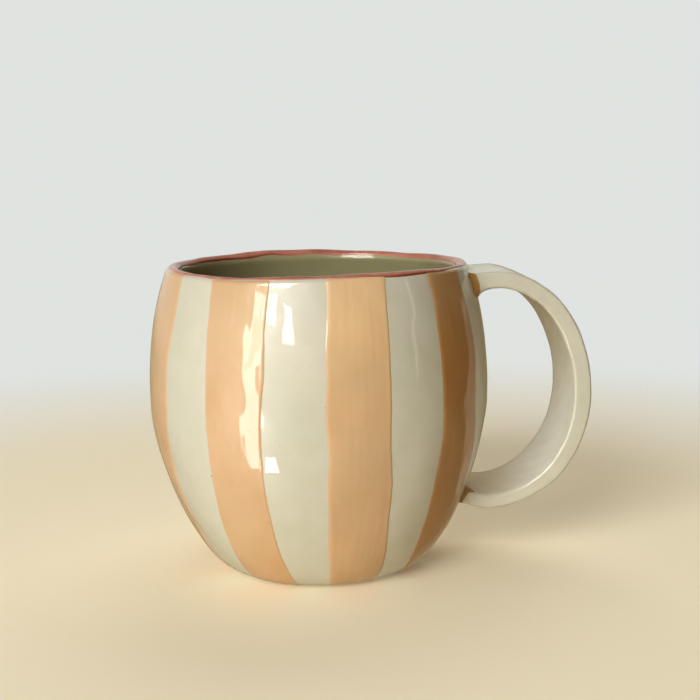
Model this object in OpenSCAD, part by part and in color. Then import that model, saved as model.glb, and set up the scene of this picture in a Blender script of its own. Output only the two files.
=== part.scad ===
// Hand-built barrel mug with a slab-cut strap handle and raised slip stripes.
// Units are millimetres and +Z is up. The origin is the centre of the foot on the
// table, the pot's axis is Z, and the handle stands out along +X.

/* [Pot] */
// Height of the finished mug, from the table to the top of the painted lip
cup_h = 87.3; // [70:0.1:110]
// Widest outside diameter of the clay wall
belly_d = 96.3; // [80:0.1:120]
// Height of the widest point above the table
belly_z = 49.1; // [35:0.1:60]
// Diameter across the crest of the lip
lip_d = 82.1; // [60:0.1:100]
// Angle the wall leans inward just below the lip
lip_lean = 18.6; // [0:0.1:30]
// Thickness of the clay wall at the lip and belly
wall_t = 4.2; // [3:0.1:6]

/* [Outline] */
// How far the outline runs flat from the foot before it turns up
foot_reach = 9; // [4:0.5:14]
// Slope of the outline where it leaves the foot, negative for a slight undercut
foot_slope = -3; // [-5:0.5:20]
// Upright run of the outline just below the belly
low_pull = 19.3; // [10:0.1:30]
// Upright run of the outline just above the belly
high_pull = 3; // [0:0.5:12]
// Straight run of the outline just below the lip
lip_pull = 18.7; // [8:0.1:30]

/* [Foot and floor] */
// Outside diameter of the foot
foot_d = 50.4; // [40:0.2:70]
// Height of the bevel round the outside of the foot
foot_bevel = 0.5; // [0.3:0.1:2]
// Diameter of the slab that closes the bottom
slab_d = 42; // [30:0.5:46]
// Height of the inside floor above the table
floor_top = 5.8; // [4:0.1:8]
// Inner diameter of the clay coil smoothed over the seam in the floor
coil_d = 34; // [28:1:40]
// Height the coil climbs up the wall above the floor
coil_rise = 4.5; // [2:0.5:8]

/* [Handle] */
// Width of the strap, across the pot
strap_w = 26.6; // [16:0.2:34]
// Thickness of the strap where it leaves the lip
strap_t_top = 4.7; // [3.5:0.1:7]
// Thickness of the strap at the far side of the grip
strap_t_side = 5; // [3.5:0.1:7]
// Thickness of the strap at its lower root
strap_t_low = 3.9; // [3:0.1:7]
// Rounding of the four long edges of the strap
edge_r = 0.9; // [0.3:0.1:1.8]
// Height at which the upper arm of the strap begins its curve
arm_z = 82; // [60:0.1:90]
// Distance from the pot's axis at which the upper arm begins its curve
arm_x = 50.3; // [48:0.1:62]
// Angle at which the upper arm climbs away from the lip
arm_rise = 4.6; // [0:0.1:12]
// Distance from the pot's axis to the middle of the strap at its far side
grip_x = 74.3; // [64:0.1:90]
// Height of the far side of the strap
grip_z = 49; // [35:0.1:60]
// Height of the bottom of the loop
heel_z = 18.6; // [12:0.1:30]
// Distance from the pot's axis at which the loop levels out at the bottom
heel_x = 48.8; // [46:0.1:56]
// Angle at which the tail climbs from the bottom of the loop to the wall
tail_angle = 16.8; // [0:0.1:30]
// Size of the luting clay worked round each root of the strap
fillet = 2.4; // [1:0.1:3]
// Distance the luting clay runs out along the strap
fillet_run = 4; // [2:0.1:6]

/* [Slip] */
// Width of each stripe as an angle round the pot
stripe_arc = 22.5; // [14:0.5:30]
// Width of the stripe under the handle as an angle round the pot
handle_stripe_arc = 18; // [12:0.5:30]
// Thickness of the stripes on the wall
slip_t = 0.35; // [0.2:0.05:1]
// Height at which the stripes begin above the table
stripe_low = 1; // [0.8:0.1:8]
// Gap between the top of the stripes and the turn of the lip
stripe_gap = 0.2; // [0.1:0.1:4]
// Thickness of the painted slip over the lip
rim_t = 0.3; // [0.2:0.05:0.6]
// Where the lip paint begins on the outside, in fifteen-degree steps over the crest
rim_start = 2; // [0:1:4]
// Where the lip paint ends on the inside, in the same steps
rim_end = 10; // [7:1:12]

/* [Hidden] */
belly_r = belly_d / 2;
foot_r = foot_d / 2;
slab_r = slab_d / 2;
lip_r = lip_d / 2;
crown_r = wall_t / 2;
crown_z = cup_h - rim_t - crown_r;

// Ends of the crown arc, where the straight faces of the lean begin
brim = [lip_r + crown_r * cos(lip_lean), crown_z + crown_r * sin(lip_lean)];
low_curve = [
    [foot_r, foot_bevel],
    [foot_r + foot_reach * cos(foot_slope), foot_bevel + foot_reach * sin(foot_slope)],
    [belly_r, belly_z - low_pull],
    [belly_r, belly_z]
];
high_curve = [
    [belly_r, belly_z],
    [belly_r, belly_z + high_pull],
    [brim[0] + lip_pull * sin(lip_lean), brim[1] - lip_pull * cos(lip_lean)],
    brim
];
low_steps = 16;
high_steps = 12;
crown_steps = 12;
round_fn = 180;

// How far the strap runs on at each end of a quarter loop, as a share of the loop's size
arm_pull = 0.31;
turn_pull = 0.74;
sag_pull = 0.68;
heel_pull = 0.37;

// Middle line of the strap: two quarter loops that meet at the far side
loop_high = [
    [arm_x, arm_z],
    [arm_x, arm_z] + arm_pull * (grip_x - arm_x) * [cos(arm_rise), sin(arm_rise)],
    [grip_x, grip_z + turn_pull * (arm_z - grip_z)],
    [grip_x, grip_z]
];
loop_low = [
    [grip_x, grip_z],
    [grip_x, grip_z - sag_pull * (grip_z - heel_z)],
    [heel_x + heel_pull * (grip_x - heel_x), heel_z],
    [heel_x, heel_z]
];
loop_steps = 18;
tail_n = 12;
root_depth = 4;
corner_steps = 3;

// The luting clay starts a little inside the wall, and ends in a thin edge on the strap
lute_back = 1;
lute_edge = 0.3;

// Stripes stand at an even pitch, the first under the handle
stripe_pitch = 360 / 9;
stripe_top = brim[1] - stripe_gap;

clay = [0.80, 0.74, 0.62];
cream = [0.87, 0.85, 0.76];
apricot = [0.82, 0.63, 0.42];
rose = [0.66, 0.36, 0.30];

// ---- Curves -------------------------------------------------------------------

function curve_at(p, t) =
    pow(1 - t, 3) * p[0] + 3 * pow(1 - t, 2) * t * p[1]
    + 3 * (1 - t) * pow(t, 2) * p[2] + pow(t, 3) * p[3];

function slope_at(p, t) =
    pow(1 - t, 2) * (p[1] - p[0]) + 2 * (1 - t) * t * (p[2] - p[1]) + pow(t, 2) * (p[3] - p[2]);

// The outline of the pot runs from u = 0 at the foot, through 1 at the belly, to 2 at the brim
function wall_pt(u) = u < 1 ? curve_at(low_curve, u) : curve_at(high_curve, u - 1);
function wall_way(u) = u < 1 ? slope_at(low_curve, u) : slope_at(high_curve, u - 1);
function wall_out(u) = let (d = wall_way(u)) [d[1], -d[0]] / norm(d);
function skin_pt(u, lift) = wall_pt(u) + lift * wall_out(u);

// The clay thickens evenly from the belly down to the floor
function clay_t(u) = wall_t + (floor_top - foot_bevel - wall_t) * max(0, 1 - u);
function inner_pt(u) = skin_pt(u, -clay_t(u));

// Place on the outline at a given height, found by halving
function u_at(z, low = 0, high = 2, n = 24) =
    let (mid = (low + high) / 2)
    n == 0 ? mid : wall_pt(mid)[1] < z ? u_at(z, mid, high, n - 1) : u_at(z, low, mid, n - 1);
function inner_u_at(z, low = 0, high = 2, n = 24) =
    let (mid = (low + high) / 2)
    n == 0 ? mid : inner_pt(mid)[1] < z ? inner_u_at(z, mid, high, n - 1) : inner_u_at(z, low, mid, n - 1);

function spread(a, b, n) = [for (i = [0:n]) a + (b - a) * i / n];
function reversed(list) = [for (i = [len(list) - 1:-1:0]) list[i]];
function outline(u0, u1, lift) = [
    for (u = spread(u0, u1, ceil((u1 - u0) * low_steps))) skin_pt(u, lift)
];
function crown(lift) = [
    for (a = spread(lip_lean, 180 + lip_lean, crown_steps))
        [lip_r, crown_z] + (crown_r + lift) * [cos(a), sin(a)]
];

// ---- Pot ----------------------------------------------------------------------

module body_wall() {
    outer = concat(
        [for (u = spread(0, 1, low_steps)) wall_pt(u)],
        [for (i = [1:high_steps - 1]) wall_pt(1 + i / high_steps)]
    );
    inner = concat(
        [for (i = [high_steps - 1:-1:1]) inner_pt(1 + i / high_steps)],
        [for (u = spread(1, 0, low_steps)) inner_pt(u)]
    );
    foot = [[slab_r, floor_top], [slab_r, 0], [foot_r - foot_bevel, 0]];
    color(cream)
        rotate_extrude($fn = round_fn)
            polygon(concat(outer, crown(0), inner, foot));
}

module floor_slab() {
    color(clay)
        cylinder(h = floor_top, r = slab_r, $fn = round_fn);
}

module floor_coil() {
    u_top = inner_u_at(floor_top + coil_rise);
    top = inner_pt(u_top);
    blend = [
        [coil_d / 2, floor_top],
        [coil_d / 2 + (foot_r - coil_d / 2) * 0.7, floor_top + 0.5],
        top - 0.35 * (top - [foot_r, floor_top]) + [-0.8, 0.2],
        top
    ];
    face = [for (t = spread(0, 1, 10)) curve_at(blend, t)];
    back = [for (u = spread(u_top, 0, 6)) inner_pt(u)];
    color(cream)
        rotate_extrude($fn = round_fn)
            polygon(concat(face, [for (i = [1:6]) back[i]]));
}

module rim_band() {
    coat = [for (i = [rim_start:rim_end]) crown(rim_t)[i]];
    clay_face = [for (i = [rim_start:rim_end]) crown(0)[i]];
    color(rose)
        rotate_extrude($fn = round_fn)
            polygon(concat(coat, reversed(clay_face)));
}

// The pot as a solid block, used to cut what is pressed against it
module pot_block() {
    rotate_extrude($fn = round_fn)
        polygon(concat(
            [[0, 0], [foot_r - foot_bevel, 0]],
            [for (u = spread(0, 1, low_steps)) wall_pt(u)],
            [for (i = [1:high_steps - 1]) wall_pt(1 + i / high_steps)],
            [for (i = [0:crown_steps / 2]) crown(0)[i]],
            [[0, cup_h - rim_t]]
        ));
}

// ---- Handle -------------------------------------------------------------------

root_high_x = wall_pt(u_at(arm_z))[0] - root_depth;
root_high = [root_high_x, arm_z - (arm_x - root_high_x) * tan(arm_rise)];
tail_len = heel_x - wall_pt(u_at(heel_z))[0] + root_depth;
root_low = [heel_x - tail_len, heel_z + tail_len * tan(tail_angle)];

strap_line = concat(
    [for (i = [0:tail_n - 1]) root_high + (loop_high[0] - root_high) * i / tail_n],
    [for (t = spread(0, 1, loop_steps)) curve_at(loop_high, t)],
    [for (i = [1:loop_steps]) curve_at(loop_low, i / loop_steps)],
    [for (i = [1:tail_n]) let (s = i / tail_n)
        loop_low[3] + tail_len * s * [-1, s * tan(tail_angle)]]
);
strap_n = len(strap_line);

function strap_way(i) =
    let (d = strap_line[min(i + 1, strap_n - 1)] - strap_line[max(i - 1, 0)]) d / norm(d);
function strap_t(p) =
    let (up = max(0, p[1] - grip_z) / (arm_z - grip_z), down = max(0, grip_z - p[1]) / (grip_z - heel_z))
    strap_t_side + (strap_t_top - strap_t_side) * pow(up, 2)
    + (strap_t_low - strap_t_side) * pow(min(1, down), 2);

// Section of the strap as [across the pot, outward from the loop], with rounded corners
function strap_section(w, t, r) = [
    for (c = [0:3], a = spread(c * 90, c * 90 + 90, corner_steps))
        let (sx = c == 0 || c == 3 ? 1 : -1, sy = c < 2 ? 1 : -1)
        [sx * (w / 2 - r) + r * cos(a), sy * (t / 2 - r) + r * sin(a)]
];

// Sweeps the section along stations i0 to i1; grow(i) is the clay added all round
module strap_sweep(i0, i1, grow) {
    rings = [for (i = [i0:i1])
        let (p = strap_line[i], d = strap_way(i), g = grow[i - i0])
        [for (q = strap_section(strap_w + 2 * g, strap_t(p) + 2 * g, edge_r + g))
            [p[0] - q[1] * d[1], q[0], p[1] + q[1] * d[0]]]
    ];
    m = len(rings[0]);
    n = len(rings);
    sides = [for (j = [0:n - 2], k = [0:m - 1])
        [j * m + k, (j + 1) * m + k, (j + 1) * m + (k + 1) % m, j * m + (k + 1) % m]];
    ends = [[for (k = [0:m - 1]) k], [for (k = [m - 1:-1:0]) (n - 1) * m + k]];
    polyhedron(points = [for (r = rings) each r], faces = concat(sides, ends), convexity = 6);
}

module strap() {
    strap_sweep(0, strap_n - 1, [for (i = [0:strap_n - 1]) 0]);
}

module handle() {
    color(cream)
        difference() {
            strap();
            pot_block();
        }
}

// Luting clay: thick against the wall, thinning out along the strap
function lute_e(i) = strap_line[i][0] - wall_pt(u_at(strap_line[i][1]))[0] + lute_back;
function lute_grow(i) =
    let (x = max(0, min(1, 1 - lute_e(i) / fillet_run)))
    lute_edge + (fillet - lute_edge) * (1 - sqrt(1 - pow(x, 2)));
high_lute_n = max([for (i = [0:tail_n]) if (lute_e(i) < fillet_run) i]);
low_lute_n = min([for (i = [strap_n - 1 - tail_n:strap_n - 1]) if (lute_e(i) < fillet_run) i]);

module high_lute() {
    strap_sweep(0, high_lute_n, [for (i = [0:high_lute_n]) lute_grow(i)]);
}

module low_lute() {
    strap_sweep(low_lute_n, strap_n - 1, [for (i = [low_lute_n:strap_n - 1]) lute_grow(i)]);
}

module upper_join() {
    color(apricot)
        difference() {
            high_lute();
            strap();
            pot_block();
            translate([0, -strap_w, brim[1]])
                cube([grip_x, 2 * strap_w, cup_h]);
        }
}

module lower_join() {
    color(apricot)
        difference() {
            low_lute();
            strap();
            pot_block();
        }
}

// ---- Slip stripes -------------------------------------------------------------

// A raised band of slip up the wall from height z0 to z1, centred on an angle
module slip_band(angle, arc, z0, z1) {
    u0 = u_at(z0);
    u1 = u_at(z1);
    rotate([0, 0, angle - arc / 2])
        rotate_extrude(angle = arc, $fn = round_fn)
            polygon(concat(outline(u0, u1, slip_t), reversed(outline(u0, u1, 0))));
}

module stripe(k) {
    color(apricot)
        slip_band(k * stripe_pitch, stripe_arc, stripe_low, stripe_top);
}

module stripe_1() { stripe(1); }
module stripe_2() { stripe(2); }
module stripe_3() { stripe(3); }
module stripe_4() { stripe(4); }
module stripe_5() { stripe(5); }
module stripe_6() { stripe(6); }
module stripe_7() { stripe(7); }
module stripe_8() { stripe(8); }

// Under the handle the stripe is broken by the two roots
module stripe_grip() {
    color(apricot)
        difference() {
            slip_band(0, handle_stripe_arc, heel_z + strap_t_low / 2, arm_z);
            high_lute();
            low_lute();
        }
}

module stripe_heel() {
    color(apricot)
        difference() {
            slip_band(0, handle_stripe_arc, stripe_low, heel_z + strap_t_low / 2);
            low_lute();
        }
}

// ---- Drawing ------------------------------------------------------------------

body_wall();
floor_slab();
floor_coil();
handle();
upper_join();
lower_join();
rim_band();
stripe_1();
stripe_2();
stripe_3();
stripe_4();
stripe_5();
stripe_6();
stripe_7();
stripe_8();
stripe_grip();
stripe_heel();
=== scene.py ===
"""A hand-built striped mug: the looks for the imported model.

Sizes are millimetres until a mesh is made. The pot stands on the origin, the handle is on +X, and angles
round the pot count from there.
"""

import math

import bmesh
import bpy
import numpy as np
from mathutils import Matrix, Vector


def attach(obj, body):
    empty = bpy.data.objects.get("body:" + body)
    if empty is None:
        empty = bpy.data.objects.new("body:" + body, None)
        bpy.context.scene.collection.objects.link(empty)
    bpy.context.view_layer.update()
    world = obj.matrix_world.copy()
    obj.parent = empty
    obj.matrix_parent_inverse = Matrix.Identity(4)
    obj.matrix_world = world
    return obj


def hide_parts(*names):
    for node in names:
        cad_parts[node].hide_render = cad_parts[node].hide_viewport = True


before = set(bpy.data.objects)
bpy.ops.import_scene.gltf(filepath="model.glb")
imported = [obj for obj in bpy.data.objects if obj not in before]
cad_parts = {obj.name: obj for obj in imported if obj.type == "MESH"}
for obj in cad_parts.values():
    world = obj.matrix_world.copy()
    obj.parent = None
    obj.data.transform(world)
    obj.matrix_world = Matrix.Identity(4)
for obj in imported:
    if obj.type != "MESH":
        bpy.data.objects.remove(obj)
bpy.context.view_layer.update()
scene = bpy.context.scene
MM = 0.001
rng = np.random.RandomState(20260)

# ---- The pot's outline, as the CAD has it ------------------------------------------------------
# The outside is two curves that meet at the belly, and each PULL is how far one of them runs on straight
# from its end. LEAN is how far the wall leans inwards at the lip.

CUP_H, BELLY_R, BELLY_Z = 87.3, 48.15, 49.1
LIP_R, LEAN, WALL_T = 41.05, math.radians(18.6), 4.2
FOOT_R, FOOT_BEVEL, FOOT_REACH, FOOT_SLOPE = 25.2, 0.5, 9.0, math.radians(-3)
LOW_PULL, HIGH_PULL, LIP_PULL = 19.3, 3.0, 18.7
SLAB_R, FLOOR_TOP, COIL_R, COIL_RISE = 21.0, 5.8, 17.0, 4.5
RIM_T = 0.3
CROWN_R = WALL_T / 2
CROWN_Z = CUP_H - RIM_T - CROWN_R
BRIM = np.array([LIP_R + CROWN_R * math.cos(LEAN), CROWN_Z + CROWN_R * math.sin(LEAN)])
LOW = np.array([
    [FOOT_R, FOOT_BEVEL],
    [FOOT_R + FOOT_REACH * math.cos(FOOT_SLOPE), FOOT_BEVEL + FOOT_REACH * math.sin(FOOT_SLOPE)],
    [BELLY_R, BELLY_Z - LOW_PULL],
    [BELLY_R, BELLY_Z],
])
HIGH = np.array([
    [BELLY_R, BELLY_Z],
    [BELLY_R, BELLY_Z + HIGH_PULL],
    [BRIM[0] + LIP_PULL * math.sin(LEAN), BRIM[1] - LIP_PULL * math.cos(LEAN)],
    BRIM,
])


def curve(p, t):
    """Points of a Bezier curve with four control points."""
    t = np.asarray(t, float)[:, None]
    return (1 - t) ** 3 * p[0] + 3 * (1 - t) ** 2 * t * p[1] + 3 * (1 - t) * t * t * p[2] + t ** 3 * p[3]


def curve_way(p, t):
    """The directions in which the same curve runs."""
    t = np.asarray(t, float)[:, None]
    return (1 - t) ** 2 * (p[1] - p[0]) + 2 * (1 - t) * t * (p[2] - p[1]) + t * t * (p[3] - p[2])


def outward(way):
    """Unit normals on the outer side of a line that runs up the wall."""
    n = np.stack([way[:, 1], -way[:, 0]], 1)
    return n / np.linalg.norm(n, axis=1)[:, None]


def smooth(x, a=0.0, b=1.0):
    """A soft step, from 0 at a to 1 at b."""
    t = np.clip((np.asarray(x, float) - a) / (b - a), 0, 1)
    return t * t * (3 - 2 * t)


def section_line():
    """One line round the wall's section: up the outside, over the crown, down the inside to the floor.
    Gives its points, its normals, and how many of the points are on the outside and on the crown."""
    t = np.linspace(0, 1, 400)
    out_low, out_high = curve(LOW, t), curve(HIGH, t)
    n_low, n_high = outward(curve_way(LOW, t)), outward(curve_way(HIGH, t))
    arc = np.linspace(LEAN, math.pi + LEAN, 120)
    n_crown = np.stack([np.cos(arc), np.sin(arc)], 1)
    crown = np.array([LIP_R, CROWN_Z]) + CROWN_R * n_crown
    foot_t = FLOOR_TOP - FOOT_BEVEL
    in_low = out_low - n_low * (WALL_T + (foot_t - WALL_T) * (1 - t))[:, None]
    in_high = out_high - n_high * WALL_T
    points = np.vstack([out_low, out_high[1:], crown[1:-1], in_high[::-1], in_low[::-1][1:]])
    normals = np.vstack([n_low, n_high[1:], n_crown[1:-1], -n_high[::-1], -n_low[::-1][1:]])
    return points, normals, len(out_low) + len(out_high) - 1, len(crown)


def travelled(points):
    """How far along a line each of its points is."""
    return np.concatenate([[0], np.cumsum(np.linalg.norm(np.diff(points, axis=0), axis=1))])


line, line_n, N_OUTSIDE, N_CROWN = section_line()
run = travelled(line)
S_BRIM, S_IN, S_END = run[N_OUTSIDE - 1], run[N_OUTSIDE + N_CROWN - 2], run[-1]
FOOT_DIP = 4      # the outline dips over its first points, which are left out where heights have to rise
R_OUT, Z_OUT = line[FOOT_DIP:N_OUTSIDE].T


def section(s):
    """Radius, height and outward normal at distances s along the section line."""
    r, z = np.interp(s, run, line[:, 0]), np.interp(s, run, line[:, 1])
    nr, nz = np.interp(s, run, line_n[:, 0]), np.interp(s, run, line_n[:, 1])
    k = np.hypot(nr, nz)
    return r, z, nr / k, nz / k


def s_at(z):
    """Distance along the section line of a height on the outside."""
    return float(np.interp(z, Z_OUT, run[FOOT_DIP:N_OUTSIDE]))


def wall_r(z):
    """Radius of the outside at a height."""
    return float(np.interp(z, Z_OUT, R_OUT))


# ---- The hand in the clay ----------------------------------------------------------------------

def waves(count, turns, pitch, size):
    """A ripple over the pot: whole turns round it, and a wavelength of pitch or more up it."""
    m = rng.randint(turns[0], turns[1] + 1, count)
    q = rng.uniform(-1, 1, count) * 2 * math.pi / pitch
    ph = rng.uniform(0, 2 * math.pi, count)
    a = rng.uniform(0.5, 1.0, count) * size / math.sqrt(count)

    def at(theta, s):
        return sum(a[i] * np.cos(m[i] * theta + q[i] * s + ph[i]) for i in range(count))

    return at


LEVEL = 1e6              # a pitch so long that a ripple only runs round the pot
slump = waves(7, (1, 4), 60, 0.26)
dents = waves(18, (5, 13), 19, 0.17)
throwing = waves(26, (14, 34), 9, 0.026)
lip_wave = waves(5, (1, 4), LEVEL, 0.22)
lip_edge = waves(8, (6, 15), LEVEL, 0.035)
oval = waves(3, (2, 3), LEVEL, 0.16)

LIP_DROP = 0.28          # keeps the highest ripple of the lip inside the CAD height
FLAT_FOOT = (1.0, 16.0)  # the foot stands flat, and the ripples grow over these heights
LIP_ZONE = (58.0, 86.0)  # the lip's own waves grow over these


def place(theta, s, lift=0.0):
    """A point on the pot's skin, in metres: angle round the axis, distance along the section."""
    theta, s = np.broadcast_arrays(theta, s)
    r, z, nr, nz = section(s)
    free = smooth(z, *FLAT_FOOT)
    d = lift + free * (slump(theta, s) + dents(theta, s) + throwing(theta, s))
    near_lip = smooth(z, *LIP_ZONE)
    r = r + nr * d + free * oval(theta, s)
    z = z + nz * d + near_lip * (lip_wave(theta, s) + lip_edge(theta, s) - LIP_DROP)
    return np.stack([r * np.cos(theta), r * np.sin(theta), np.maximum(z, 0)], -1) * MM


# ---- Meshes ------------------------------------------------------------------------------------

def grid_faces(nu, nv, closed_u):
    """Faces over a grid of points [u][v] that closes on itself in v. In u it does too, or it is a tube
    with a cap on each end."""
    idx = np.arange(nu * nv).reshape(nu, nv)
    next_u, next_v = np.roll(idx, -1, 0), np.roll(idx, -1, 1)
    corners = np.stack([idx, next_u, np.roll(next_u, -1, 1), next_v], -1)
    if closed_u:
        return corners.reshape(-1, 4).tolist()
    return corners[:-1].reshape(-1, 4).tolist() + [idx[0].tolist(), idx[-1, ::-1].tolist()]


def outward_faces(mesh):
    """Turns the faces so that they look out of the solid."""
    bm = bmesh.new()
    bm.from_mesh(mesh)
    if bm.calc_volume(signed=True) < 0:
        bmesh.ops.reverse_faces(bm, faces=bm.faces)
    bm.to_mesh(mesh)
    bm.free()
    mesh.update()


def make(name, grid, node, materials, closed_u=False, attrs=None, pick=None):
    """A mesh from a grid of points [u][v], as a piece that rides on the pot and stands for a CAD node.
    attrs holds a value for each point. On a grid closed both ways, pick gives a face's material by v."""
    nu, nv = grid.shape[:2]
    faces = grid_faces(nu, nv, closed_u)
    mesh = bpy.data.meshes.new(name)
    mesh.from_pydata(grid.reshape(-1, 3).tolist(), [], faces)
    mesh.update()
    for material in materials:
        mesh.materials.append(material)
    mesh.polygons.foreach_set("use_smooth", [True] * len(faces))
    for key, values in (attrs or {}).items():
        layer = mesh.attributes.new(key, "FLOAT", "POINT")
        layer.data.foreach_set("value", np.asarray(values, float).reshape(-1))
    if pick is not None:
        chosen = np.broadcast_to(pick(np.arange(nv)), (nu, nv)).astype(int).reshape(-1)
        mesh.polygons.foreach_set("material_index", chosen)
    obj = bpy.data.objects.new(name, mesh)
    scene.collection.objects.link(obj)
    outward_faces(mesh)
    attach(obj, "root")
    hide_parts(node)


def wrap(upper, lower):
    """Joins the rows of a coat's upper skin to those of its underside, so that they close round it."""
    return np.concatenate([upper, lower[:, ::-1]], 1)


# ---- Materials ---------------------------------------------------------------------------------

CREAM_RGB = (0.70, 0.67, 0.55)
# The inside's colour is the cream darkened towards olive: painted shade for the dim inside of the pot
SHADED_CREAM_RGB = (0.37, 0.335, 0.195)
APRICOT_RGB = (0.73, 0.475, 0.268)
ROSE_RGB = (0.50, 0.185, 0.130)


def rgba(r, g, b):
    return (r, g, b, 1.0)


def tint(base, red, green, blue):
    """A colour with each channel scaled."""
    return rgba(base[0] * red, base[1] * green, base[2] * blue)


class Nodes:
    """A short way to write a node tree."""

    def __init__(self, tree):
        self.tree = tree

    def node(self, kind, **props):
        n = self.tree.nodes.new(kind)
        for k, v in props.items():
            setattr(n, k, v)
        return n

    def put(self, socket, value):
        """Links a socket to another one, or sets its value."""
        if isinstance(value, bpy.types.NodeSocket):
            self.tree.links.new(value, socket)
        else:
            socket.default_value = value

    def math(self, op, a, b):
        n = self.node("ShaderNodeMath", operation=op)
        self.put(n.inputs[0], a)
        self.put(n.inputs[1], b)
        return n.outputs[0]

    def span(self, value, a, b, to_a=0.0, to_b=1.0):
        """A soft step, from to_a at a to to_b at b."""
        n = self.node("ShaderNodeMapRange", interpolation_type="SMOOTHSTEP", clamp=True)
        names = ("Value", "From Min", "From Max", "To Min", "To Max")
        for key, v in zip(names, (value, a, b, to_a, to_b)):
            self.put(n.inputs[key], v)
        return n.outputs["Result"]

    def mix(self, fac, a, b):
        n = self.node("ShaderNodeMix", data_type="RGBA")
        self.put(n.inputs["Factor"], fac)
        self.put(n.inputs[6], a)
        self.put(n.inputs[7], b)
        return n.outputs[2]

    def split(self, vector):
        n = self.node("ShaderNodeSeparateXYZ")
        self.put(n.inputs[0], vector)
        return n.outputs


class Material(Nodes):
    """The node tree of a new material, patterned in the object's own coordinates."""

    def __init__(self, name):
        self.mat = bpy.data.materials.new(name)
        self.mat.use_nodes = True
        super().__init__(self.mat.node_tree)
        self.bsdf = self.tree.nodes["Principled BSDF"]
        self.where = self.node("ShaderNodeTexCoord").outputs["Object"]

    def mapping(self, **values):
        n = self.node("ShaderNodeMapping")
        self.put(n.inputs["Vector"], self.where)
        for key, value in values.items():
            n.inputs[key].default_value = value
        return n.outputs["Vector"]

    def noise(self, scale, detail=3.0, rough=0.5, warp=0.0, vector=None):
        n = self.node("ShaderNodeTexNoise")
        self.put(n.inputs["Vector"], vector or self.where)
        for key, value in zip(("Scale", "Detail", "Roughness", "Distortion"), (scale, detail, rough, warp)):
            n.inputs[key].default_value = value
        return n.outputs["Fac"]

    def attr(self, name):
        return self.node("ShaderNodeAttribute", attribute_name=name).outputs["Fac"]

    def specks(self, colour, weight, dark, scale, size, share, seed):
        """Small round specks: size is a share of the cell, share is how many cells have one."""
        n = self.node("ShaderNodeTexVoronoi", feature="F1")
        self.put(n.inputs["Vector"], self.mapping(Location=(seed, seed * 0.7, seed * 0.3)))
        n.inputs["Scale"].default_value = scale
        cell = self.node("ShaderNodeSeparateColor")
        self.put(cell.inputs[0], n.outputs["Color"])
        near = self.span(n.outputs["Distance"], size, size * 0.45)
        some = self.math("LESS_THAN", cell.outputs[0], share)
        here = self.math("MULTIPLY", near, some)
        return self.mix(self.math("MULTIPLY", here, weight), colour, rgba(*dark))

    def bump(self, *layers):
        """Stacks bump layers, each (height socket, strength, distance in metres)."""
        normal = None
        for height, strength, distance in layers:
            n = self.node("ShaderNodeBump")
            n.inputs["Strength"].default_value = strength
            n.inputs["Distance"].default_value = distance
            self.put(n.inputs["Height"], height)
            if normal is not None:
                self.put(n.inputs["Normal"], normal)
            normal = n.outputs["Normal"]
        return normal

    def shade(self, colour, rough, normal, coat=1.0, coat_rough=0.04, level=0.5):
        self.put(self.bsdf.inputs["Base Color"], colour)
        self.put(self.bsdf.inputs["Roughness"], rough)
        self.put(self.bsdf.inputs["Normal"], normal)
        self.bsdf.inputs["Coat Weight"].default_value = coat
        self.bsdf.inputs["Coat Roughness"].default_value = coat_rough
        self.bsdf.inputs["Specular IOR Level"].default_value = level
        return self.mat

    def glow(self, colour, strength):
        self.put(self.bsdf.inputs["Emission Color"], colour)
        self.bsdf.inputs["Emission Strength"].default_value = strength


def glaze_bump(n, streak=None):
    """The ripple and orange peel of a poured glaze, over brush streaks where there are any."""
    layers = [(n.noise(95.0, 2.0, 0.45), 0.5, 0.00018), (n.noise(620.0, 2.0, 0.5), 0.35, 0.00003)]
    if streak is not None:
        layers.append((streak, 0.5, 0.00003))
    return n.bump(*layers)


def cream_colour(n, base):
    """The clay body seen through the glaze, with faint clouds and a few iron specks; and the fine noise
    that the roughness follows."""
    cloud = n.noise(28.0, 3.0, 0.55, 0.4)
    fine = n.noise(170.0, 4.0, 0.6)
    colour = n.mix(n.span(cloud, 0.35, 0.68), tint(base, 0.97, 0.985, 0.97), tint(base, 1.04, 1.03, 1.05))
    colour = n.mix(n.span(fine, 0.3, 0.75, 0.0, 0.35), colour, tint(base, 0.90, 0.90, 0.84))
    colour = n.specks(colour, 0.4, (0.22, 0.14, 0.07), 430.0, 0.13, 0.05, 0.013)
    colour = n.specks(colour, 0.75, (0.12, 0.08, 0.04), 120.0, 0.055, 0.10, 0.031)
    return colour, fine


def glazed_clay(name, base):
    n = Material(name)
    colour, fine = cream_colour(n, base)
    return n.shade(colour, n.span(fine, 0.2, 0.8, 0.30, 0.46), glaze_bump(n))


def root_clay(name):
    """Luting clay: painted with slip against the wall, left cream where it thins out on the strap."""
    n = Material(name)
    cream, fine = cream_colour(n, CREAM_RGB)
    waver = n.noise(160.0, 2.0)
    depth = n.math("ADD", n.attr("depth"), n.span(waver, 0.2, 0.8, -0.2, 0.2))
    # The slip here is a deeper brown than the stripes' apricot: the slip's colour, darkened as painted shade
    # in the crease between strap and wall
    colour = n.mix(n.span(depth, 1.1, 0.9), cream, rgba(0.47, 0.265, 0.09))
    return n.shade(colour, n.span(fine, 0.2, 0.8, 0.30, 0.46), glaze_bump(n))


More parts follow.
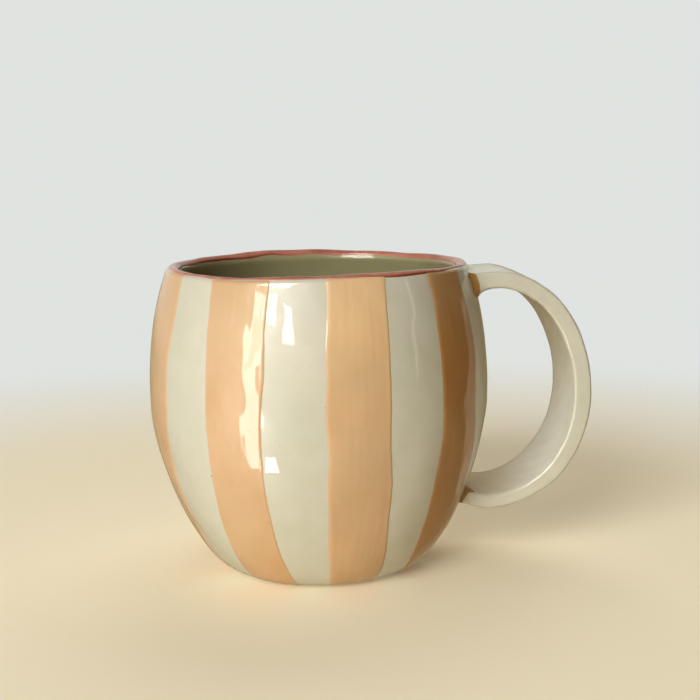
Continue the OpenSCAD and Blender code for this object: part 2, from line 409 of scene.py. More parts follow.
def apricot_slip(name):
    """Raised slip. Its attributes are edge, the distance from the stripe's nearer edge in mm; side, from
    -1 at its left edge to 1 at its right; and how far the slip goes browner, partly painted shade, and
    paler, partly painted light."""
    n = Material(name)
    base = APRICOT_RGB
    cloud = n.span(n.noise(38.0, 3.0, 0.6, 0.5), 0.32, 0.70)
    streak = n.noise(520.0, 3.0, 0.55, 0.0, n.mapping(Scale=(1.0, 1.0, 0.07)))
    grain = n.noise(1500.0, 2.0, 0.6)
    patch = n.noise(24.0, 2.0, 0.5, 0.3)
    usual = n.mix(cloud, tint(base, 0.93, 0.90, 0.86), tint(base, 1.05, 1.06, 1.10))
    paler = n.mix(cloud, tint(base, 1.14, 1.20, 1.18), tint(base, 1.25, 1.34, 1.40))
    # Paler towards the top where the stripe is set so: painted light on the front stripe
    colour = n.mix(n.attr("bright"), usual, paler)
    colour = n.mix(n.span(patch, 0.45, 0.65, 0.0, 0.55), colour, tint(base, 0.92, 1.00, 1.00))
    colour = n.mix(n.span(streak, 0.35, 0.75, 0.0, 0.08), colour, tint(base, 0.86, 0.80, 0.70))
    colour = n.mix(n.span(grain, 0.45, 0.8, 0.0, 0.18), colour, tint(base, 1.08, 1.14, 1.25))
    # Slip draws back from its edges: a pale band, strongest on the left, then a brown line outside it,
    # strongest on the right, away from the light: the slip's own edge, and painted shade of the raised right
    # edge
    side, edge = n.attr("side"), n.attr("edge")
    pale = n.math("MULTIPLY", n.span(edge, 2.0, 0.6), n.span(side, 0.4, -0.6, 0.25, 0.55))
    colour = n.mix(pale, colour, rgba(0.80, 0.54, 0.34))
    brown_line_and_shade = n.math("MULTIPLY", n.span(edge, 0.55, 0.22), n.span(side, -0.8, 0.8, 0.0, 0.36))
    colour = n.mix(brown_line_and_shade, colour, rgba(0.48, 0.24, 0.13))
    # Browner where the stripe is set so: painted shade on the stripes away from the light, thicker slip on
    # the others
    deep_and_shade = n.math("MULTIPLY", n.attr("deep_and_shade"), n.span(patch, 0.40, 0.62, 1.15, 0.80))
    colour = n.mix(deep_and_shade, colour, tint(base, 0.66, 0.50, 0.26))
    colour = n.specks(colour, 0.5, (0.22, 0.11, 0.05), 430.0, 0.10, 0.06, 0.021)
    return n.shade(colour, n.span(grain, 0.2, 0.8, 0.32, 0.50), glaze_bump(n, streak))


def rose_slip(name):
    """Brushed paint. Its attributes say where it is thin, at its edges, and where it ran into a pool, which
    inside at the back is also painted shade.
    """
    n = Material(name)
    base = ROSE_RGB
    cloud = n.noise(70.0, 3.0, 0.6, 0.6)
    brush = n.noise(420.0, 3.0, 0.6)
    colour = n.mix(n.span(cloud, 0.34, 0.66), tint(base, 0.80, 0.68, 0.62), tint(base, 1.18, 1.35, 1.40))
    colour = n.mix(n.span(n.attr("thin"), 0.15, 0.95, 0.0, 0.70), colour, tint(base, 1.35, 2.1, 2.3))
    colour = n.mix(n.span(brush, 0.45, 0.8, 0.0, 0.35), colour, tint(base, 0.75, 0.60, 0.55))
    # Dark red where the paint pooled; inside at the back it is also painted shade
    colour = n.mix(n.attr("pool_and_shade"), colour, rgba(0.27, 0.045, 0.024))
    normal = n.bump((n.noise(260.0, 3.0), 0.5, 0.00008), (brush, 0.4, 0.00003))
    return n.shade(colour, n.span(brush, 0.2, 0.8, 0.34, 0.52), normal, coat=0.8, coat_rough=0.12)


def bare_clay(name):
    n = Material(name)
    cloud = n.noise(45.0, 4.0, 0.6, 0.3)
    grit = n.noise(900.0, 4.0, 0.7)
    colour = n.mix(n.span(cloud, 0.3, 0.7), rgba(0.50, 0.40, 0.27), rgba(0.66, 0.56, 0.41))
    colour = n.mix(n.span(grit, 0.5, 0.8, 0.0, 0.5), colour, rgba(0.40, 0.30, 0.19))
    colour = n.specks(colour, 0.8, (0.12, 0.07, 0.04), 330.0, 0.12, 0.22, 0.017)
    normal = n.bump((cloud, 0.5, 0.0003), (grit, 0.7, 0.00012))
    return n.shade(colour, n.span(grit, 0.2, 0.8, 0.72, 0.92), normal, 0.0, 0.3, 0.35)


CREAM = glazed_clay("cream_glaze", CREAM_RGB)
# The inside's glaze is painted shade: a darker copy of the cream glaze
SHADED_INNER = glazed_clay("inner_glaze_painted_shade", SHADED_CREAM_RGB)
APRICOT = apricot_slip("apricot_slip")
ROSE = rose_slip("rose_slip")
CLAY = bare_clay("bare_clay")
ROOTS = root_clay("root_clay")

# ---- Wall --------------------------------------------------------------------------------------

TURN = 480               # points round the pot
ROWS_OUT, ROWS_CROWN, ROWS_IN = 130, 18, 55
# Circles under the wall: the slab's seat from its top to the table, then the foot out to its bevel
UNDER = ((SLAB_R, FLOOR_TOP), (SLAB_R, 0.02), (FOOT_R - 2.2, 0.0), (FOOT_R - 0.75, 0.0),
         (FOOT_R - 0.45, 0.05), (FOOT_R - 0.2, 0.2))
BARE_FACES = 4           # how many of the faces from one circle to the next are bare of glaze
theta = np.linspace(0, 2 * math.pi, TURN, endpoint=False)


def circle(r, z):
    """A level circle of points, as one column of the wall's grid."""
    return np.stack([r * np.cos(theta), r * np.sin(theta), np.full(TURN, z)], -1)[:, None] * MM


def pot_wall():
    """The wall, up the outside, over the lip, down the inside and back under the foot."""
    s = np.concatenate([np.linspace(0, S_BRIM, ROWS_OUT), np.linspace(S_BRIM, S_IN, ROWS_CROWN)[1:],
                        np.linspace(S_IN, S_END, ROWS_IN)[1:]])
    lip = ROWS_OUT + (ROWS_CROWN - 1) // 2
    grid = np.concatenate([place(theta[:, None], s[None, :])] + [circle(r, z) for r, z in UNDER], 1)

    def material(v):
        """Cream glaze outside, inside the cream glaze darkened as painted shade, bare clay under the foot."""
        bare = (v >= len(s)) & (v < len(s) + BARE_FACES)
        inside = (v >= lip) & (v < len(s))
        return 1 * bare + 2 * inside

    make("pot_wall", grid, "body_wall", (CREAM, CLAY, SHADED_INNER), closed_u=True, pick=material)


pot_wall()

# ---- Slip stripes ------------------------------------------------------------------------------

CAM_TURN = -93.5         # the angle, round the pot, of the side that faces the viewer
# Left and right edge of each stripe in view at four heights, as angles from the side that faces the viewer
KEYS_Z = np.array([2.0, 17.0, 45.0, 85.0])
SEEN = {
    5: ((-86.5, -82.0, -80.0, -79.0), (-62.0, -60.7, -58.0, -56.0)),
    6: ((-42.5, -40.5, -38.2, -40.6), (-13.6, -16.6, -17.6, -16.0)),
    7: ((2.1, 1.7, 1.3, 1.9), (31.0, 27.0, 23.2, 24.0)),
    8: ((46.5, 43.0, 41.4, 39.8), (70.0, 67.5, 63.8, 62.8)),
}
# The others stand at even steps, all in degrees, and the one under the handle, number 0, is narrower
STEP, HALF, HALF_AT_HANDLE = 40, 11.3, 9.0
FLARE = np.array([1.30, 1.14, 1.0, 1.03])     # their width at the four heights
SWAY = 0.02                                   # and how far, in radians, an edge is out of place
WOBBLES = ((36, 0.26), (19, 0.15), (8.3, 0.05), (2.7, 0.022))     # an edge's (wavelength, size)
WOBBLE_R = 47.0                               # the radius that turns such a size into an angle

DEEP_AND_SHADE = {8: 0.75, 1: 0.25, 3: 0.3, 0: 0.5}     # browner stripes: painted shade on 8 and 0, on the side away from the light; brushed on thicker on 1 and 3
BRIGHT_AND_LIT = {7: 1.0, 4: 0.4}                     # and ones made paler towards the top: painted light on 7, dried paler on 4
DEEP_AND_SHADE_FADE, BRIGHT_AND_LIT_RISE = (66.0, 85.0), (40.0, 80.0)      # the heights over which each of these changes

# Columns of points lie close together near a stripe's edges; these are distances from the edge
NEAR = np.array([0.0, 0.12, 0.25, 0.4, 0.58, 0.78, 1.0, 1.3, 1.7, 2.3])
MIDDLE = np.linspace(0, 1, 26)[1:-1]
SUNK, BED = -0.08, -0.22                      # where a coat's edge and its underside lie in the wall
COAT, RIGHT_COAT = 0.125, 0.03                # how proud the slip stands, and how much more on the right
RIDGE, RIDGE_IN, RIDGE_W = 0.03, 0.95, 0.55   # the roll of slip along the right edge
STREAKS = 0.3                                 # the weight of the brush's streaks in the slip's height
END_FADE = 0.7                                # how far from its ends a stripe starts to thin out

stripe_streaks = waves(30, (40, 150), 30, 0.05)


def stripe_edges(k, z):
    """Left and right edge of a stripe, in radians, at heights z."""
    if k in SEEN:
        edges = [np.radians(np.array(e) + CAM_TURN) for e in SEEN[k]]
    else:
        mid, half = math.radians(STEP * k), math.radians(HALF if k else HALF_AT_HANDLE)
        sway = rng.uniform(-SWAY, SWAY, (2, len(KEYS_Z)))
        edges = [mid - half * FLARE + sway[0], mid + half * FLARE + sway[1]]
    wobbly = []
    for edge in edges:
        at = np.polyval(np.polyfit(KEYS_Z, edge, 3), z)
        for pitch, size in WOBBLES:
            size = size * rng.uniform(0.5, 1)
            turn = 2 * math.pi * z / (pitch * rng.uniform(0.8, 1.2)) + rng.uniform(0, 6.3)
            at = at + size * np.sin(turn) / WOBBLE_R
        wobbly.append(at)
    return wobbly


def slip_height(k, s, th, edge, side, ends):
    """How far the slip stands out of the wall: the brush left it thin on the left of the stripe, and
    rolled up in a ridge along the right."""
    right_side = smooth(side, -0.2, 0.9)
    sway = 0.6 + 0.4 * np.sin(s / 9.0 + k)
    ridge = RIDGE * right_side * sway * np.exp(-((edge - RIDGE_IN) / RIDGE_W) ** 2)
    coat = COAT + RIGHT_COAT * right_side
    top = SUNK + (coat - SUNK) * smooth(edge, 0.0, 1.7 - 0.8 * right_side) + ridge
    top = top + STREAKS * stripe_streaks(th, s) * smooth(edge, 0.6, 3.0)
    return top - (top - SUNK) * (1 - smooth(ends, 0.0, END_FADE))


def stripe(k, name, node, s0, s1, rows):
    """Stripe number k, between two distances along the section line, with this many rows of points."""
    s = np.linspace(s0, s1, rows)
    r, z, _, _ = section(s)
    left, right = stripe_edges(k, z)
    s, r, z, left, right = (v[:, None] for v in (s, r, z, left, right))
    width = (right - left) * r
    across = np.concatenate([NEAR + 0 * width, NEAR[-1] + (width - 2 * NEAR[-1]) * MIDDLE,
                             width - NEAR[::-1]], 1)
    th = left + across / r
    edge = np.minimum(across, width - across)
    side = np.clip((across - width / 2) / (width / 2), -1, 1)
    top = slip_height(k, s, th, edge, side, np.minimum(s - s0, s1 - s))
    grid = wrap(place(th, s, top), place(th, s, BED))
    everywhere = np.ones(grid.shape[:2])
    attrs = {"edge": wrap(edge, edge), "side": wrap(side, side),
             "deep_and_shade": DEEP_AND_SHADE.get(k, 0.0) * (1 - 0.5 * smooth(z, *DEEP_AND_SHADE_FADE)) * everywhere,
             "bright": BRIGHT_AND_LIT.get(k, 0.0) * smooth(z, *BRIGHT_AND_LIT_RISE) * everywhere}
    make(name, grid, node, (APRICOT,), attrs=attrs)


S_FOOT, S_TOP = 0.4, S_BRIM + 1.5
for k in range(1, 9):
    stripe(k, "slip_stripe_%d" % k, "stripe_%d" % k, S_FOOT, S_TOP, 260)
# The handle breaks the ninth stripe in two, drawn with the same random edge
HEEL_CUT, ARM_CUT = s_at(20.5), s_at(82.0)
state = rng.get_state()
stripe(0, "slip_stripe_grip", "stripe_grip", HEEL_CUT, ARM_CUT, 190)
rng.set_state(state)
stripe(0, "slip_stripe_heel", "stripe_heel", S_FOOT, HEEL_CUT + 0.4, 60)

# ---- Painted lip -------------------------------------------------------------------------------

PAINT_OUT, PAINT_IN = 1.12, 1.35        # how far the paint stops short of the crown's ends, out and in
DIP = 0.75                              # but the brush dipped lower over one stretch of the front
PAINT_BED, PAINT_RIPPLE = -0.16, 0.03   # where its underside lies in the wall, and how rough its top is


def stretch(seen, width):
    """One round the lip near an angle from the viewer, fading to nothing either side of it."""
    away = (theta - math.radians(CAM_TURN + seen) + math.pi) % (2 * math.pi) - math.pi
    return np.exp(-(away / width) ** 2)[:, None]


def lip_paint():
    """Rose slip over the lip: thin at its edges, and pooled along the dip in front and inside at the back,
    where the dark line is also painted shade.
    """
    th = theta[:, None]
    edge_out = waves(12, (2, 17), LEVEL, 0.30)
    edge_in = waves(12, (2, 19), LEVEL, 0.27)
    s_from = S_BRIM + PAINT_OUT + edge_out(th, 0.0) - DIP * stretch(33, 0.33)
    s_to = S_IN - PAINT_IN + edge_in(th, 0.0)
    across = np.concatenate([[0, 0.015, 0.035, 0.06], np.linspace(0.09, 0.91, 26), [0.94, 0.965, 0.985, 1]])
    s = s_from + (s_to - s_from) * across
    outer, inner = s - s_from, s_to - s
    thin = np.maximum(1 - smooth(outer, 0.1, 1.1), 0.6 * (1 - smooth(inner, 0.1, 1.1)))
    # Pooled paint along the dip in front; inside at the back, pooled paint and painted shade
    pool_and_shade = (stretch(34, 0.30) * (1 - smooth(outer, 0.5, 0.95))
            + stretch(-135, 0.55) * (1 - smooth(inner, 0.55, 1.0)))
    ripple = PAINT_RIPPLE * dents(th * 3, s * 5)
    lift = SUNK + (RIM_T + 0.02) * smooth(np.minimum(outer, inner), 0.0, 0.9) + ripple
    grid = wrap(place(th, s, lift), place(th, s, PAINT_BED))
    attrs = {"thin": wrap(thin, thin), "pool_and_shade": wrap(pool_and_shade, pool_and_shade)}
    make("lip_paint", grid, "rim_band", (ROSE,), closed_u=True, attrs=attrs)


lip_paint()

# ---- Floor: slab and seam coil -----------------------------------------------------------------

LATHE_TURN = 240
UNDERSIDE = 0.03                      # the slab's underside, a hair above the foot that stands on the table
COIL_SINK = np.array([0.25, -0.25])   # how far the coil's back lies in the clay behind it


def lathe(name, profile, hand, node, materials, pick=None):
    """Turns a closed section [(radius, height)] round the axis. hand makes it uneven."""
    th = np.linspace(0, 2 * math.pi, LATHE_TURN, endpoint=False)[:, None]
    r, z = (v + 0 * th for v in np.array(profile, float).T)
    r, z = hand(th, r, z)
    grid = np.stack([r * np.cos(th), r * np.sin(th), z], -1) * MM
    make(name, grid, node, materials, closed_u=True, pick=pick)


def base_slab():
    """The round slab that closes the bottom, its faces smoothed by hand."""
    radii = np.linspace(0.02, SLAB_R - 0.25, 26)
    rim = [(SLAB_R - 0.03, 0.25), (SLAB_R - 0.01, FLOOR_TOP - 0.2)]
    profile = [(r, UNDERSIDE) for r in radii] + rim + [(r, FLOOR_TOP) for r in radii[::-1]]
    wave = waves(10, (1, 6), 14, 0.20)

    def hand(th, r, z):
        lift = wave(th, r) * np.clip(1 - r / SLAB_R, 0, 1) * smooth(r, 0, 4)
        return r, np.where(z > 3, z + lift, z + np.abs(lift) * 0.6)

    def glazed(v):
        first = len(radii) + 1
        return (v >= first) & (v < first + len(radii))

    # The slab's top takes the inside's darker glaze, which is painted shade
    lathe("base_slab", profile, hand, "floor_slab", (CLAY, SHADED_INNER), glazed)


def seam_coil():
    """The coil of clay worked into the corner between the slab and the wall."""
    inside = line[run >= S_IN][::-1]
    n_up = int(np.searchsorted(inside[:, 1], FLOOR_TOP + COIL_RISE))
    top, corner = inside[n_up], np.array([FOOT_R, FLOOR_TOP])
    blend = np.array([[COIL_R, FLOOR_TOP], [COIL_R + (FOOT_R - COIL_R) * 0.7, FLOOR_TOP + 0.5],
                      top - 0.35 * (top - corner) + [-0.8, 0.2], top])
    face = curve(blend, np.linspace(0, 1, 30))
    back = inside[: n_up + 1][::-1][:: max(1, n_up // 24)] + COIL_SINK
    profile = np.vstack([face, back, [[COIL_R, FLOOR_TOP + COIL_SINK[1]]]])
    wave = waves(12, (3, 16), 9, 0.22)
    free = np.zeros(len(profile))
    free[:len(face)] = np.sin(np.linspace(0, math.pi, len(face)))

    def hand(th, r, z):
        return r - 0.3 * free * wave(th, r), z + free * wave(th, r)

    # The coil takes the inside's darker glaze, which is painted shade
    lathe("seam_coil", profile, hand, "floor_coil", (SHADED_INNER,))


base_slab()
seam_coil()

# ---- Handle ------------------------------------------------------------------------------------

STRAP_W, T_TOP, T_SIDE, T_LOW, EDGE_R = 26.6, 4.7, 5.0, 3.9, 0.8
ARM_Z, ARM_X, ARM_RISE, GRIP_X, GRIP_Z = 82.0, 50.3, math.radians(4.6), 74.3, 49.0
HEEL_Z, HEEL_X, TAIL_ANGLE, ROOT = 18.6, 48.8, math.radians(16.8), 3.0
ARM_PULL, TURN_PULL, SAG_PULL, HEEL_PULL = 0.31, 0.74, 0.68, 0.37
STRAP_ROWS = 240
STRAP_CROWN = 0.16       # how much its faces bulge in the middle
STRAP_SWAY, EDGE_RIPPLE = 0.35, 0.05   # how far its line and its cut edges waver
TRIM = 0.2               # narrower than the CAD's strap by this much, so that its edges can sway


def strap_line():
    """Even distances along the strap from its upper root to its lower one, with the middle of the strap
    and its direction at each."""
    pull = ARM_PULL * (GRIP_X - ARM_X)
    high = np.array([[ARM_X, ARM_Z], [ARM_X + pull * math.cos(ARM_RISE), ARM_Z + pull * math.sin(ARM_RISE)],
                     [GRIP_X, GRIP_Z + TURN_PULL * (ARM_Z - GRIP_Z)], [GRIP_X, GRIP_Z]])
    low = np.array([[GRIP_X, GRIP_Z], [GRIP_X, GRIP_Z - SAG_PULL * (GRIP_Z - HEEL_Z)],
                    [HEEL_X + HEEL_PULL * (GRIP_X - HEEL_X), HEEL_Z], [HEEL_X, HEEL_Z]])
    lead_x = np.linspace(wall_r(ARM_Z) - ROOT, ARM_X, 60, endpoint=False)
    lead = np.stack([lead_x, ARM_Z - (ARM_X - lead_x) * math.tan(ARM_RISE)], 1)
    f = np.linspace(0, 1, 60)[1:, None]
    tail = HEEL_X - wall_r(HEEL_Z) + ROOT
    end = low[3] + tail * f * np.concatenate([-np.ones_like(f), f * math.tan(TAIL_ANGLE)], 1)
    t = np.linspace(0, 1, 200)
    path = np.vstack([lead, curve(high, t), curve(low, t)[1:], end])
    gone = travelled(path)
    g = np.linspace(0, gone[-1], STRAP_ROWS)
    mid = np.stack([np.interp(g, gone, path[:, 0]), np.interp(g, gone, path[:, 1])], 1)
    way = np.gradient(mid, axis=0)
    return g, mid, way / np.linalg.norm(way, axis=1)[:, None]


def strap_t(z):
    """Thickness of the strap at a height."""
    up = np.clip((z - GRIP_Z) / (ARM_Z - GRIP_Z), 0, 1) ** 2
    down = np.clip((GRIP_Z - z) / (GRIP_Z - HEEL_Z), 0, 1) ** 2
    return T_SIDE + (T_TOP - T_SIDE) * up + (T_LOW - T_SIDE) * down


def strap_ring(w, t, r, face=12, edge=4, corner=6):
    """A rounded oblong as (across, out), with this many points on each face, edge and corner."""
    centres = np.array([(1, 1), (-1, 1), (-1, -1), (1, -1)]) * (w / 2 - r, t / 2 - r)
    pts = []
    for c, here in enumerate(centres):
        arc = np.radians(np.linspace(c * 90, c * 90 + 90, corner))
        bent = r * np.stack([np.cos(arc), np.sin(arc)], 1)
        onwards = centres[(c + 1) % 4] - here
        between = np.linspace(0, 1, (edge if c % 2 else face) + 2)[1:-1, None]
        pts += [here + bent, here + bent[-1] + onwards * between]
    return np.vstack(pts)


def strip_noise(count, pitch, size):
    """A ripple along a strip, at a distance a along it and b across it."""
    ph, fr = rng.uniform(0, 6.3, (count, 2)), 2 * math.pi / (pitch * rng.uniform(0.7, 1.6, count))
    am = rng.uniform(0.5, 1, count) * size / math.sqrt(count)

    def at(a, b):
        return sum(am[i] * np.sin(fr[i] * a + ph[i, 0] + 0.6 * np.sin(b * 0.2 + ph[i, 1]))
                   for i in range(count))

    return at


def handle_strap():
    """The strap, with faces that bulge a little and a waver in its width and its line."""
    on_face = strip_noise(6, 24, 0.18)
    on_edge = strip_noise(6, 30, 0.35)
    fine = strip_noise(8, 7, 0.05)
    rings = []
    for g, mid, way in zip(strap_g, strap_mid, strap_way):
        w = STRAP_W - TRIM + float(on_edge(g, 0.0))
        y, o = strap_ring(w, strap_t(mid[1]) - 0.05, EDGE_R).T
        crowned = STRAP_CROWN * (1 - (y / (w / 2)) ** 2) * np.sign(o) * (np.abs(o) > 0.5)
        o = o + crowned + on_face(g + np.sign(o) * 40, y) * 0.6 + fine(g + 3 * y, y)
        y = y + STRAP_SWAY * math.sin(g / 31.0 + 0.7) + EDGE_RIPPLE * np.sin(g / 3.3 + np.sign(y) * 2)
        rings.append(np.stack([mid[0] - o * way[1], y, mid[1] + o * way[0]], -1) * MM)
    make("handle_strap", np.array(rings), "handle", (CREAM,))


strap_g, strap_mid, strap_way = strap_line()
handle_strap()

# ---- Luting clay at the roots ------------------------------------------------------------------

FAR_OUT = 8.0            # the fillets are found by looking at the wall from this far up the strap
LOOK = 14.0              # over at most this distance
FILLET_ROWS = 14
FOOT_SINK, BACK_SINK = 0.25, 1.3      # how far the fillet's foot and its back lie in the wall


def wall_hit(p, d):
    """Distances along d from points p at which they meet the outside of the pot."""
    lo, hi = np.zeros(len(p)), np.full(len(p), LOOK)
    for _ in range(30):
        m = (lo + hi) / 2
        q = p + d * m[:, None]
        inside = np.hypot(q[:, 0], q[:, 1]) < np.interp(q[:, 2], Z_OUT, R_OUT)
        hi, lo = np.where(inside, m, hi), np.where(inside, lo, m)
    return ((lo + hi) / 2)[:, None]


def luting(name, node, centre, inward, t, grow, reach, z_top, painted):
    """A fillet worked round the strap where it meets the wall. inward points at the wall. grow is how far
    the fillet spreads over the wall above, beside and below the strap; reach is how far it runs out along
    the strap's faces and edges; painted is how far the slip runs out from the wall along the edges."""
    d = np.array([inward[0], 0.0, inward[1]])
    out = np.array([-inward[1], 0.0, inward[0]])
    if out[2] < 0:
        out = -out
    sec = strap_ring(STRAP_W - TRIM, t, EDGE_R + 0.2, 14, 6, 10)
    across, height = (sec / np.array([STRAP_W / 2, t / 2])).T
    up = smooth(height, 0.2, 1.0) * grow[0] + smooth(-height, 0.2, 1.0) * grow[2]
    beside = smooth(np.abs(across), 0.9, 1.0) * grow[1]
    shift = np.stack([np.sign(across) * beside, np.sign(height) * up], 1)
    on_face = 1 - smooth(np.abs(across), 0.86, 0.97)[:, None]
    uneven = (1 + 0.10 * np.sin(np.arange(len(sec)) * 2 * math.pi / len(sec) * 3 + 1.0))[:, None]
    reach_at = reach[1] + (reach[0] - reach[1]) * on_face

    def lay(q):
        """Points of a section, in space and far out on the strap."""
        return centre - d * FAR_OUT + q[:, :1] * np.array([0, 1.0, 0]) + q[:, 1:] * out

    a, b = lay(sec), lay(sec + shift * uneven)
    b[:, 2] = np.minimum(b[:, 2], z_top)
    hit_a, hit_b = wall_hit(a, d), wall_hit(b, d)
    corner = a + d * hit_a
    foot = b + d * (hit_b + FOOT_SINK)
    tip = lay(sec * 0.985) + d * (hit_a - reach_at * uneven)
    bend = corner * 0.80 + foot * 0.10 + tip * 0.10
    rows = [(1 - q) ** 2 * foot + 2 * (1 - q) * q * bend + q * q * tip
            for q in np.linspace(0, 1, FILLET_ROWS)]
    depth = [((corner - row) @ d)[:, None] for row in rows]
    # The fillet closes inside the strap and the wall
    rows += [lay(sec * 0.93) + d * (hit_a - reach_at * 0.6), lay(sec * 0.8) + d * (hit_a + 0.2),
             b + d * (hit_b + BACK_SINK) - (b - a) * 0.3]
    depth += [reach_at, 0 * reach_at, 0 * reach_at]
    attrs = {"depth": np.concatenate(depth, 1) / painted + 3 * on_face}
    grid = np.array(rows).transpose(1, 0, 2) * MM
    make(name, grid, node, (ROOTS,), closed_u=True, attrs=attrs)


def lutings():
    arm_way = np.array([-math.cos(ARM_RISE), -math.sin(ARM_RISE)])
    arm_x = wall_r(ARM_Z)
    arm = np.array([arm_x, 0, ARM_Z - (ARM_X - arm_x) * math.tan(ARM_RISE)])
    luting("upper_luting", "upper_join", arm, arm_way, strap_t(ARM_Z),
           grow=(0.9, 0.9, 3.4), reach=(4.6, 4.6), z_top=85.4, painted=1.7)
    heel_x = 41.6        # where the strap's line comes through the wall
    half = STRAP_ROWS // 2
    i = int(np.argmin(np.abs(strap_mid[half:, 0] - heel_x))) + half
    heel = np.array([strap_mid[i, 0], 0, strap_mid[i, 1]])
    luting("lower_luting", "lower_join", heel, strap_way[i], strap_t(HEEL_Z),
           grow=(1.5, 1.1, 0.9), reach=(3.2, 8.0), z_top=60.0, painted=3.6)


lutings()

# ---- Floor and backdrop ------------------------------------------------------------------------

FLOOR_GLOW = 0.11
FLOOR_RINGS, FLOOR_SPOKES = (0.1, 0.25, 0.5), 96       # metres, and points round each ring
FADE_FROM, FADE_TO = 0.13, 0.38     # metres from the pot, where the floor melts into the backdrop
WALL_BEHIND = rgba(0.66, 0.645, 0.58)     # how bright the glaze sees the wall behind the pot
SHADE_BEHIND = rgba(0.24, 0.185, 0.105)   # and the pot's own shadow on it


def faint_bump(n):
    return n.bump((n.noise(300.0, 2.0), 0.1, 0.00005))


def floor_material():
    """A pale floor that fades out with distance, and isn't there for a camera below it."""
    n = Material("studio_floor")
    colour = n.mix(n.noise(3.0, 2.0), rgba(0.88, 0.795, 0.61), rgba(0.90, 0.815, 0.63))
    n.shade(colour, 0.7, faint_bump(n), 0.0, 0.3, 0.3)
    n.glow(rgba(1.0, 0.90, 0.68), FLOOR_GLOW)
    away = n.node("ShaderNodeVectorMath", operation="LENGTH")
    n.put(away.inputs[0], n.where)
    below = n.node("ShaderNodeNewGeometry").outputs["Backfacing"]
    fade = n.node("ShaderNodeMixShader")
    n.put(fade.inputs[0], n.math("MAXIMUM", n.span(away.outputs["Value"], FADE_FROM, FADE_TO), below))
    n.put(fade.inputs[1], n.bsdf.outputs[0])
    n.put(fade.inputs[2], n.node("ShaderNodeBsdfTransparent").outputs[0])
    n.put(n.tree.nodes["Material Output"].inputs["Surface"], fade.outputs[0])
    return n.mat


def stage_piece(name, points, faces, material):
    mesh = bpy.data.meshes.new(name)
    mesh.from_pydata(points, [], faces)
    mesh.materials.append(material)
    obj = bpy.data.objects.new(name, mesh)
    scene.collection.objects.link(obj)
    return obj


def studio_floor():
    turns = [2 * math.pi * i / FLOOR_SPOKES for i in range(FLOOR_SPOKES)]
    points = [(0, 0, 0)] + [(r * math.cos(a), r * math.sin(a), 0) for r in FLOOR_RINGS for a in turns]
    faces = []
    for i in range(FLOOR_SPOKES):
        j = (i + 1) % FLOOR_SPOKES
        faces.append((0, 1 + i, 1 + j))
        for ring in range(len(FLOOR_RINGS) - 1):
            inner, outer = 1 + ring * FLOOR_SPOKES, 1 + (ring + 1) * FLOOR_SPOKES
            faces.append((inner + i, outer + i, outer + j, inner + j))
    floor = stage_piece("floor", points, faces, floor_material())
    floor.visible_glossy = False
    floor.visible_shadow = False


def shade_card(size_x, size_z, y):
    """The shadow the pot throws on the wall behind it, seen only as a reflection in the glaze."""
    n = Material("shade_card")
    n.shade(rgba(0.0, 0.0, 0.0), 1.0, faint_bump(n), 0.0, 0.3, 0.0)
    at = n.split(n.where)
    shade = n.math("MULTIPLY", n.span(at["X"], 0.020, 0.065), n.span(at["Z"], 0.110, 0.062))
    n.glow(n.mix(shade, WALL_BEHIND, SHADE_BEHIND), 1.0)
    corners = [(0, y, MM), (size_x, y, MM), (size_x, y, size_z), (0, y, size_z)]
    card = stage_piece("shade_card", corners, [(0, 1, 2, 3)], n.mat)
    card.visible_camera = card.visible_diffuse = card.visible_shadow = card.visible_transmission = False


def studio_world():
    """A pale backdrop for the camera; dimmer walls round the pot, brightest behind it and to its left."""
    scene.world = bpy.data.worlds.new("studio")
    scene.world.use_nodes = True
    n = Nodes(scene.world.node_tree)
    way = n.node("ShaderNodeTexCoord").outputs["Generated"]

    def towards(azimuth):
        """How far a ray goes towards an azimuth, counted from the viewer and negative to the left."""
        a = math.radians(azimuth + CAM_TURN)
        dot = n.node("ShaderNodeVectorMath", operation="DOT_PRODUCT")
        n.put(dot.inputs[0], way)
        dot.inputs[1].default_value = (math.cos(a), math.sin(a), 0.0)
        return dot.outputs["Value"]

    path = n.node("ShaderNodeLightPath").outputs
    up = n.split(way)["Z"]
    back = n.mix(n.span(up, -0.10, 0.02), rgba(0.34, 0.27, 0.17), WALL_BEHIND)
    back = n.mix(path["Is Glossy Ray"], rgba(0.34, 0.31, 0.24), back)
    left = n.mix(path["Is Glossy Ray"], rgba(0.32, 0.29, 0.22), rgba(0.42, 0.41, 0.38))
    walls = n.mix(n.span(towards(180), 0.0, 0.9), rgba(0.076, 0.052, 0.022), back)
    walls = n.mix(n.span(towards(92), 0.3, 0.9), walls, rgba(0.065, 0.038, 0.012))
    walls = n.mix(n.span(towards(-80), 0.3, 1.0), walls, left)
    walls = n.mix(n.span(up, 0.15, 0.75), walls, rgba(0.10, 0.09, 0.07))
    seen = n.mix(path["Is Camera Ray"], walls, rgba(0.635, 0.655, 0.640))
    n.put(n.tree.nodes["Background"].inputs["Color"], seen)


studio_floor()
shade_card(0.150, 0.110, 0.105)
studio_world()

# ---- Light -------------------------------------------------------------------------------------

LOOK_AT = Vector((0, 0, 0.05))
PANE_AWAY = 1.1          # metres
DAYLIGHT, BLUSH = (1.0, 0.97, 0.92), (1.0, 0.90, 0.85)
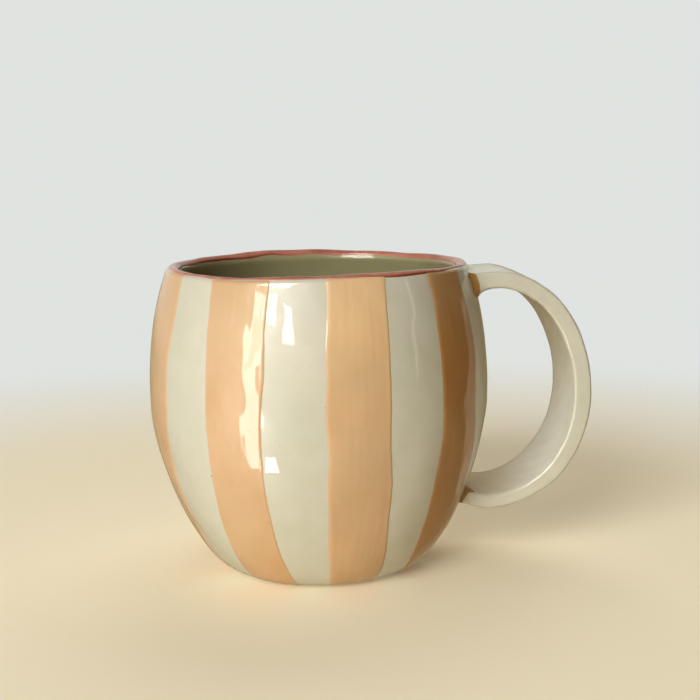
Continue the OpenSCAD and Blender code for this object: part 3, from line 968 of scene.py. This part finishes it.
# The window as the glaze shows it: pane, its azimuths from the viewer (negative to the left), its
# elevations, how bright it is and its colour
PANES = (
    ("pane_tall", (-48.5, -39), (-31, 3), 7.0, DAYLIGHT),
    ("pane_tall_left", (-50, -45.5), (3, 25), 7.0, DAYLIGHT),
    ("pane_tall_mid", (-45.5, -41), (3, 25), 4.6, BLUSH),
    ("pane_tall_right", (-41, -37), (3, 25), 8.0, DAYLIGHT),
    ("pane_high", (-47, -20), (29, 47), 10.0, DAYLIGHT),
    ("pane_left", (-35, -29), (15, 25), 7.0, DAYLIGHT),
    ("pane_right", (-23, -17), (9, 22), 8.0, DAYLIGHT),
    ("pane_far", (66, 69), (-4, 30), 1.2, DAYLIGHT),
    ("pane_low", (-34, -26), (-33, -28), 13.0, DAYLIGHT),
)


def area(name, azimuth, elevation, distance, size, power, colour):
    """A rectangular light at an azimuth from the viewer, negative to the left, and an elevation."""
    light = bpy.data.lights.new(name, "AREA")
    light.shape = "RECTANGLE"
    light.size, light.size_y = size
    light.energy = power
    light.color = colour
    obj = bpy.data.objects.new(name, light)
    scene.collection.objects.link(obj)
    a, e = math.radians(azimuth + CAM_TURN), math.radians(elevation)
    way = Vector((math.cos(a) * math.cos(e), math.sin(a) * math.cos(e), math.sin(e)))
    obj.location = LOOK_AT + way * distance
    obj.rotation_euler = way.to_track_quat("Z", "Y").to_euler()
    obj.visible_camera = False
    return obj


def pane(name, azimuths, elevations, radiance, colour):
    """A bright window pane that only shows as a reflection in the glaze."""
    size = [2 * PANE_AWAY * math.tan(math.radians((v[1] - v[0]) / 2)) for v in (azimuths, elevations)]
    power = radiance * math.pi * size[0] * size[1]
    obj = area(name, sum(azimuths) / 2, sum(elevations) / 2, PANE_AWAY, size, power, colour)
    obj.visible_diffuse = False


def soft_light(name, *placing):
    """A light that brightens the pot and doesn't show as a reflection."""
    area(name, *placing).visible_glossy = False


soft_light("window", -29, 24, 1.7, (0.90, 0.90), 21.6, (0.985, 0.995, 0.985))
soft_light("table_glow", -40, -24, 1.0, (0.7, 0.45), 1.1, (1.0, 0.93, 0.78))
soft_light("back_top", 165, 52, 1.2, (0.9, 0.7), 4.2, (1.0, 0.98, 0.94))
for row in PANES:
    pane(*row)

# ---- Camera ------------------------------------------------------------------------------------

CAM_D, CAM_Z = 0.361, 0.1197        # metres from the pot's axis and above the table
PITCH, YAW, ROLL = 9.16, 1.44, -0.76
LENS, SENSOR = 65.4, 36.0


def camera():
    turn = math.radians(90 + CAM_TURN)
    data = bpy.data.cameras.new("view")
    data.lens, data.sensor_width = LENS, SENSOR
    cam = bpy.data.objects.new("view", data)
    scene.collection.objects.link(cam)
    spin = (Matrix.Rotation(turn - math.radians(YAW), 4, "Z")
            @ Matrix.Rotation(math.radians(90 - PITCH), 4, "X")
            @ Matrix.Rotation(math.radians(ROLL), 4, "Z"))
    cam.matrix_world = Matrix.Translation((CAM_D * math.sin(turn), -CAM_D * math.cos(turn), CAM_Z)) @ spin
    scene.camera = cam


camera()
scene.view_settings.view_transform = "Standard"
scene.view_settings.look = "Medium High Contrast"
